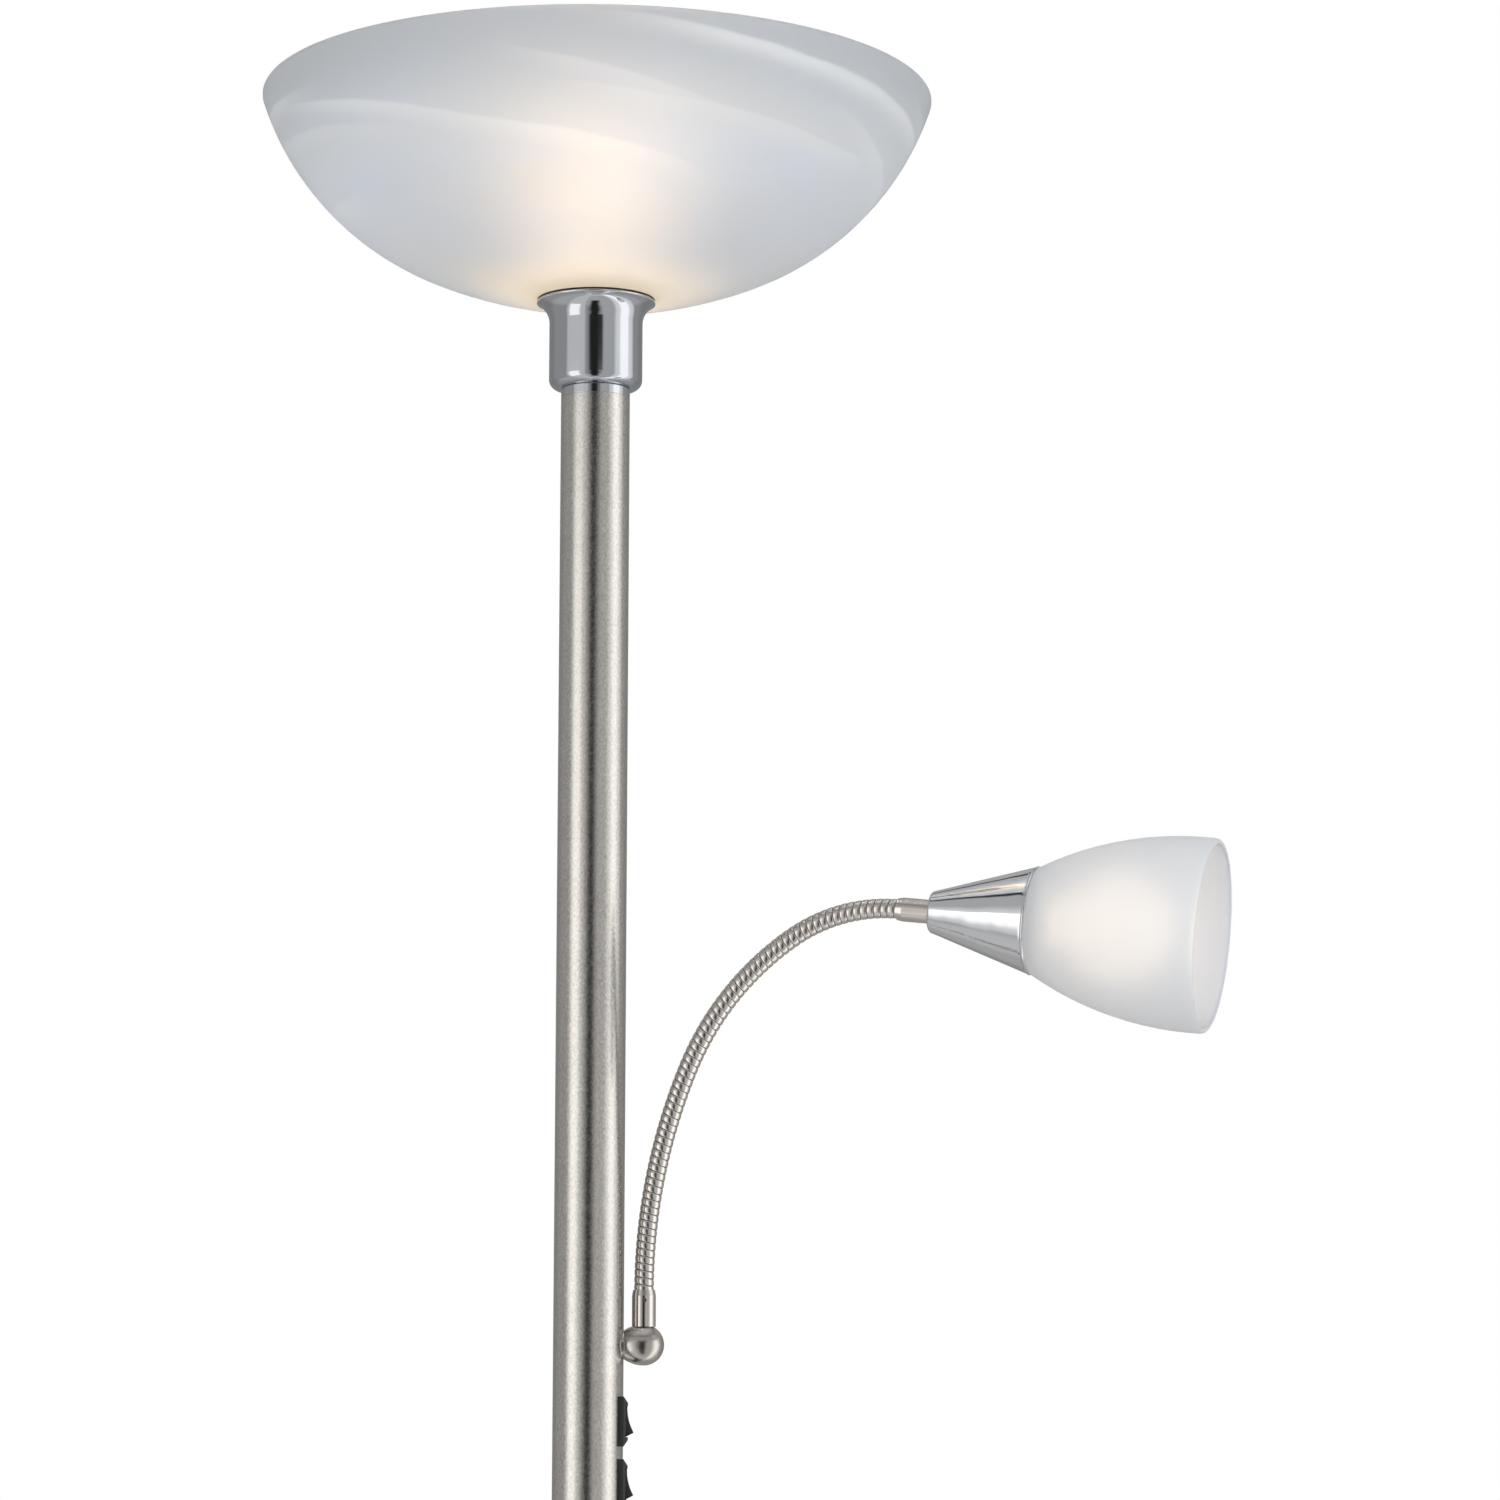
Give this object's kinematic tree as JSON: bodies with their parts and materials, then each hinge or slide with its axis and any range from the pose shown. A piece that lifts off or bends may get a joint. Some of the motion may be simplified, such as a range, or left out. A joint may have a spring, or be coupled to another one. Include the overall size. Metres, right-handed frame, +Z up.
{
  "type": "torchiere floor lamp with reading light",
  "caption": "Floor lamp with an upturned glass bowl on a slim round pole, and a glass-shaded reading light on a flexible arm at its side.",
  "frame": {"origin": "on the floor at the pole's axis, in the plane of the foot pad", "axes": "+Z up along the pole, +X from the pole to the switches and the arm's pivot, -Y the front, to which the arm is swung"},
  "size_m": [0.397, 0.28, 1.8],
  "materials": {
    "brushed_nickel": "satin, brushed round the tube",
    "chrome": "polished",
    "gooseneck_steel": "bright wound steel",
    "alabaster_glass": "satin white glass with cloudy streaks",
    "frosted_glass": "acid-frosted white",
    "bulb_glass": "opal",
    "black_plastic": "semi-gloss moulded",
    "lampholder_plastic": "moulded",
    "ceramic_white": "glazed",
    "brass": "bright",
    "zinc_steel": "zinc plated",
    "aluminium": "bulb cap",
    "cast_iron": "rough cast, black",
    "felt": "pressed felt",
    "rubber": "matt",
    "lead_sheath": "soft insulating sleeve"
  },
  "bodies": {
    "stand": {"base_cover": "brushed_nickel", "foot_collar": "brushed_nickel", "lower_pole": "brushed_nickel", "middle_pole": "brushed_nickel", "upper_pole": "brushed_nickel", "bowl_cup": "chrome", "pole_cap": "chrome", "pivot_washer": "chrome", "glass_bowl": "alabaster_glass", "bowl_bulb_glass": "bulb_glass", "upper_switch_housing": "black_plastic", "lower_switch_housing": "black_plastic", "bowl_holder_cap": "lampholder_plastic", "bowl_holder_body": "lampholder_plastic", "bowl_ring": "lampholder_plastic", "terminal_block": "lampholder_plastic", "bowl_contact_disc": "ceramic_white", "bowl_screw_shell": "brass", "switch_blades": "brass", "base_nut": "zinc_steel", "base_washer": "zinc_steel", "base_stud": "zinc_steel", "head_stud": "zinc_steel", "pivot_stud": "zinc_steel", "pivot_nut": "zinc_steel", "terminal_screws": "zinc_steel", "foot_plug": "zinc_steel", "pole_sleeves": "zinc_steel", "bowl_bulb_cap": "aluminium", "base_weight": "cast_iron", "base_pad": "felt", "lead_gland": "rubber", "bowl_gasket": "rubber", "supply_lead": "lead_sheath", "bowl_lead": "lead_sheath", "reading_lead": "lead_sheath"},
    "arm_root": {"pivot_ball": "chrome", "ball_screw": "zinc_steel", "lower_ferrule": "chrome", "gooseneck_link_1": "gooseneck_steel"},
    "arm_link_2": {"gooseneck_link_2": "gooseneck_steel"},
    "arm_link_3": {"gooseneck_link_3": "gooseneck_steel"},
    "arm_link_4": {"gooseneck_link_4": "gooseneck_steel"},
    "arm_link_5": {"gooseneck_link_5": "gooseneck_steel"},
    "arm_link_6": {"gooseneck_link_6": "gooseneck_steel"},
    "arm_link_7": {"gooseneck_link_7": "gooseneck_steel"},
    "arm_link_8": {"gooseneck_link_8": "gooseneck_steel"},
    "reading_head": {"gooseneck_link_9": "gooseneck_steel", "upper_ferrule": "chrome", "reading_stud": "zinc_steel", "reading_cone": "chrome", "reading_holder": "lampholder_plastic", "reading_contact_disc": "ceramic_white", "reading_screw_shell": "brass", "reading_bulb_cap": "aluminium", "reading_bulb_glass": "bulb_glass", "reading_shade_ring": "lampholder_plastic", "reading_shade": "frosted_glass"},
    "upper_rocker": {"upper_rocker": "black_plastic"},
    "lower_rocker": {"lower_rocker": "black_plastic"}
  },
  "joints": [
    {"name": "arm_swivel", "type": "hinge", "parent": "stand", "child": "arm_root", "pos_m": [0.0224, 0, 1.2813], "axis": [1, 0, 0], "range_deg": [-90, 90], "deforming": ["reading_lead"]},
    {"name": "gooseneck_bend_1", "type": "hinge", "parent": "arm_root", "child": "arm_link_2", "pos_m": [0.0235, -0.00039, 1.32646], "axis": [0.3338, 0.9426, 0], "range_deg": [-5, 18], "deforming": ["reading_lead"]},
    {"name": "gooseneck_bend_2", "type": "hinge", "parent": "arm_link_2", "child": "arm_link_3", "pos_m": [0.02678, -0.00155, 1.34929], "axis": [0.3338, 0.9426, 0], "range_deg": [-5, 18], "deforming": ["reading_lead"]},
    {"name": "gooseneck_side_3", "type": "hinge", "parent": "arm_link_3", "child": "arm_link_4", "pos_m": [0.0322, -0.00347, 1.37165], "axis": [-0.8999, 0.3187, 0.2979], "range_deg": [-15, 15], "deforming": ["reading_lead"]},
    {"name": "gooseneck_bend_4", "type": "hinge", "parent": "arm_link_4", "child": "arm_link_5", "pos_m": [0.03972, -0.00613, 1.39332], "axis": [0.3338, 0.9426, 0], "range_deg": [-8, 16], "deforming": ["reading_lead"]},
    {"name": "gooseneck_bend_5", "type": "hinge", "parent": "arm_link_5", "child": "arm_link_6", "pos_m": [0.05018, -0.00984, 1.41353], "axis": [0.3338, 0.9426, 0], "range_deg": [-10, 13], "deforming": ["reading_lead"]},
    {"name": "gooseneck_side_6", "type": "hinge", "parent": "arm_link_6", "child": "arm_link_7", "pos_m": [0.06419, -0.0148, 1.43117], "axis": [-0.6575, 0.2328, 0.7165], "range_deg": [-15, 15], "deforming": ["reading_lead"]},
    {"name": "gooseneck_bend_7", "type": "hinge", "parent": "arm_link_7", "child": "arm_link_8", "pos_m": [0.08118, -0.02082, 1.44555], "axis": [0.3338, 0.9426, 0], "range_deg": [-15, 9], "deforming": ["reading_lead"]},
    {"name": "gooseneck_bend_8", "type": "hinge", "parent": "arm_link_8", "child": "reading_head", "pos_m": [0.10112, -0.02788, 1.45457], "axis": [0.3338, 0.9426, 0], "range_deg": [-20, 4], "deforming": ["reading_lead"]},
    {"name": "upper_rocker_tilt", "type": "hinge", "parent": "stand", "child": "upper_rocker", "pos_m": [0.0125, 0, 1.2505], "axis": [0, 1, 0], "range_deg": [0, 26]},
    {"name": "lower_rocker_tilt", "type": "hinge", "parent": "stand", "child": "lower_rocker", "pos_m": [0.0125, 0, 1.2255], "axis": [0, 1, 0], "range_deg": [0, 26]}
  ]
}
